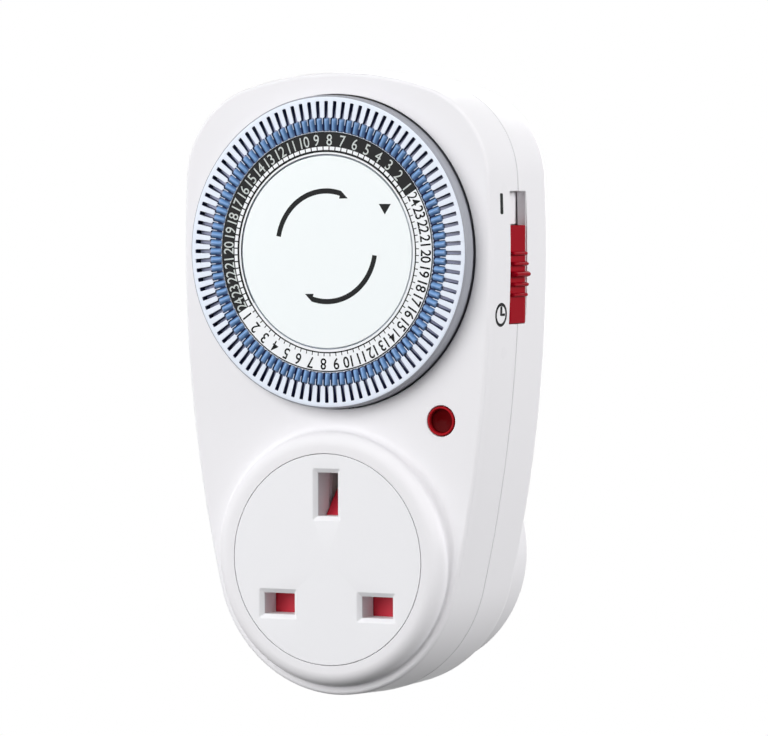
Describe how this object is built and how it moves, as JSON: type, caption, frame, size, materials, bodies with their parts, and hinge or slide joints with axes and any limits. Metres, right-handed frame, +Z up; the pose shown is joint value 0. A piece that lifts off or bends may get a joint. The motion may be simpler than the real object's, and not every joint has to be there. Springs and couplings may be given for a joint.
{
  "type": "plug in timer switch",
  "caption": "Plug-in mains timer with a segment dial over a shuttered three-pin socket, a side mode slider and a three-pin plug on the back",
  "frame": {"origin": "centre of the plug face, which lies against the wall outlet, on the axis of the round plug body and socket", "axes": "+Z up along the body, +Y out of the back towards the wall, +X to the right seen from the front"},
  "size_m": [0.0713, 0.0636, 0.1252],
  "materials": {
    "white_shell": "smooth moulded white ABS",
    "grey_face": "smooth moulded off-white",
    "black_print": "printed foil, half black and half white in the visual",
    "blue_plastic": "moulded mid blue",
    "red_plastic": "moulded signal red",
    "red_lens": "clear dark red lens",
    "lamp_glass": "clear glass envelope",
    "zinc_steel": "zinc plated",
    "brass": "bright brass",
    "black_plastic": "black moulded",
    "nylon": "natural nylon",
    "copper_coil": "lacquered copper winding",
    "magnet": "ferrite",
    "resistor_body": "tan coated",
    "wire_cover": "grey insulation"
  },
  "bodies": {
    "case": {"front_housing": "white_shell", "rear_housing": "white_shell", "housing_screws": "zinc_steel", "socket_face": "grey_face", "shutter_spring": "zinc_steel", "neon_lens": "red_lens", "neon_lamp": "lamp_glass", "neon_resistor": "resistor_body", "centre_cap": "white_shell", "movement_plate": "nylon", "movement_screws": "zinc_steel", "gear_pins": "zinc_steel", "motor_can": "zinc_steel", "motor_coil": "copper_coil", "motor_cover": "zinc_steel", "motor_screws": "zinc_steel", "lever_pin": "zinc_steel", "lever_spring": "zinc_steel", "switch_body": "black_plastic", "switch_terminals": "brass", "live_pin": "brass", "neutral_pin": "brass", "earth_pin": "brass", "pin_sleeves": "black_plastic", "pin_clamp": "white_shell", "contact_carrier": "grey_face", "live_contact": "brass", "neutral_contact": "brass", "earth_contact": "brass", "live_link": "brass", "switched_link": "brass", "neutral_link": "brass", "earth_link": "brass", "wires": "wire_cover"},
    "dial": {"dial_disc": "white_shell", "number_ring": "black_print", "tappet_guide": "white_shell", "drive_gear": "nylon", "clutch_spring": "zinc_steel"},
    "wheel_2": {"gear_2": "nylon"},
    "wheel_1": {"gear_1": "nylon"},
    "rotor": {"rotor_magnet": "magnet", "rotor_pinion": "brass"},
    "slider": {"mode_slider": "red_plastic"},
    "lever": {"follower_lever": "nylon"},
    "plunger": {"switch_plunger": "nylon"},
    "shutter": {"shutter": "red_plastic"},
    "tappets_1": {"tappets_1": "blue_plastic"},
    "tappets_2": {"tappets_2": "blue_plastic"},
    "tappets_3": {"tappets_3": "blue_plastic"},
    "tappets_4": {"tappets_4": "blue_plastic"},
    "tappets_5": {"tappets_5": "blue_plastic"},
    "tappets_6": {"tappets_6": "blue_plastic"},
    "tappets_7": {"tappets_7": "blue_plastic"},
    "tappets_8": {"tappets_8": "blue_plastic"},
    "tappets_9": {"tappets_9": "blue_plastic"},
    "tappets_10": {"tappets_10": "blue_plastic"},
    "tappets_11": {"tappets_11": "blue_plastic"},
    "tappets_12": {"tappets_12": "blue_plastic"}
  },
  "joints": [
    {"name": "dial_turn", "type": "hinge", "parent": "case", "child": "dial", "pos_m": [0, -0.036, 0.0613], "axis": [0, 1, 0], "continuous": true},
    {"name": "wheel_2_turn", "type": "hinge", "parent": "case", "child": "wheel_2", "pos_m": [-0.01146, -0.034, 0.06792], "axis": [0, 1, 0], "continuous": true},
    {"name": "wheel_1_turn", "type": "hinge", "parent": "case", "child": "wheel_1", "pos_m": [-0.00312, -0.034, 0.07566], "axis": [0, 1, 0], "continuous": true},
    {"name": "rotor_turn", "type": "hinge", "parent": "case", "child": "rotor", "pos_m": [0.00499, -0.034, 0.07443], "axis": [0, 1, 0], "continuous": true},
    {"name": "mode_slide", "type": "slide", "parent": "case", "child": "slider", "axis": [0, 0, 1], "range_m": [0, 0.0066]},
    {"name": "lever_tilt", "type": "hinge", "parent": "case", "child": "lever", "pos_m": [0.0256, -0.0272, 0.026], "axis": [-1, 0, 0], "range_deg": [0, 4.6], "deforming": ["lever_spring"]},
    {"name": "plunger_press", "type": "slide", "parent": "case", "child": "plunger", "axis": [0, 1, 0], "range_m": [0, 0.00071]},
    {"name": "shutter_slide", "type": "slide", "parent": "case", "child": "shutter", "axis": [0, 0, -1], "range_m": [0, 0.0052], "stiffness_N_per_m": 150, "springref_m": -0.004, "deforming": ["shutter_spring"]},
    {"name": "tappets_1_push", "type": "slide", "parent": "dial", "child": "tappets_1", "axis": [0, 1, 0], "range_m": [0, 0.0025]},
    {"name": "tappets_2_push", "type": "slide", "parent": "dial", "child": "tappets_2", "axis": [0, 1, 0], "range_m": [0, 0.0025]},
    {"name": "tappets_3_push", "type": "slide", "parent": "dial", "child": "tappets_3", "axis": [0, 1, 0], "range_m": [0, 0.0025]},
    {"name": "tappets_4_push", "type": "slide", "parent": "dial", "child": "tappets_4", "axis": [0, 1, 0], "range_m": [0, 0.0025]},
    {"name": "tappets_5_push", "type": "slide", "parent": "dial", "child": "tappets_5", "axis": [0, 1, 0], "range_m": [0, 0.0025]},
    {"name": "tappets_6_push", "type": "slide", "parent": "dial", "child": "tappets_6", "axis": [0, 1, 0], "range_m": [0, 0.0025]},
    {"name": "tappets_7_push", "type": "slide", "parent": "dial", "child": "tappets_7", "axis": [0, 1, 0], "range_m": [0, 0.0025]},
    {"name": "tappets_8_push", "type": "slide", "parent": "dial", "child": "tappets_8", "axis": [0, 1, 0], "range_m": [0, 0.0025]},
    {"name": "tappets_9_push", "type": "slide", "parent": "dial", "child": "tappets_9", "axis": [0, 1, 0], "range_m": [0, 0.0025]},
    {"name": "tappets_10_push", "type": "slide", "parent": "dial", "child": "tappets_10", "axis": [0, 1, 0], "range_m": [0, 0.0025]},
    {"name": "tappets_11_push", "type": "slide", "parent": "dial", "child": "tappets_11", "axis": [0, 1, 0], "range_m": [0, 0.0025]},
    {"name": "tappets_12_push", "type": "slide", "parent": "dial", "child": "tappets_12", "axis": [0, 1, 0], "range_m": [0, 0.0025]}
  ],
  "couplings": [
    {"joint": "wheel_2_turn", "follows": "dial_turn", "ratio": -2.6667},
    {"joint": "wheel_1_turn", "follows": "dial_turn", "ratio": 8.4444},
    {"joint": "rotor_turn", "follows": "dial_turn", "ratio": -16.889},
    {"joint": "lever_tilt", "follows": "mode_slide", "rad_per_m": 11.92},
    {"joint": "plunger_press", "follows": "mode_slide", "ratio": 0.106}
  ]
}
